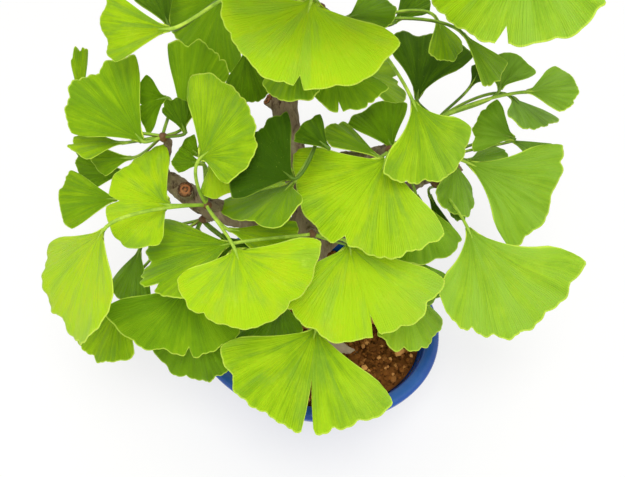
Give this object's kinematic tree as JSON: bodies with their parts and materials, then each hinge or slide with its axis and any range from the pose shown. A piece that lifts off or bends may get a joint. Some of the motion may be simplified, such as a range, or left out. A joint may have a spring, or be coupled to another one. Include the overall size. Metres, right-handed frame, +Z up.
{
  "type": "ginkgo bonsai",
  "caption": "Young ginkgo tree with fan-shaped green leaves on long stalks, planted in a glazed blue oval pot filled with coarse soil.",
  "frame": {"origin": "under the middle of the oval pot, on the surface that its feet stand on", "axes": "+Z up; +X along the pot's long side; +Y across the pot, away from the side that the picture looks from"},
  "size_m": [0.2209, 0.1827, 0.2705],
  "materials": {
    "glaze": "glossy blue glaze",
    "soil": "coarse dark red-brown grains",
    "bark": "matte grey-brown bark",
    "leaf": "satin green leaf",
    "net": "matte black"
  },
  "bodies": {
    "root": {"pot": "glaze", "soil": "soil", "drain_net_left": "net", "drain_net_right": "net", "trunk_and_branches": "bark", "leaves_left": "leaf", "leaves_left_low": "leaf", "leaves_front": "leaf", "leaves_left_tip": "leaf", "leaves_left_back": "leaf", "leaves_upper_left": "leaf", "leaves_top_front": "leaf", "leaves_upper_right": "leaf", "leaves_centre": "leaf", "leaves_right_centre": "leaf", "leaves_right_back": "leaf", "leaves_right": "leaf", "leaves_right_front": "leaf", "leaves_top_right": "leaf", "leaves_crown": "leaf", "leaves_back": "leaf", "leaves_back_low": "leaf"}
  },
  "joints": []
}
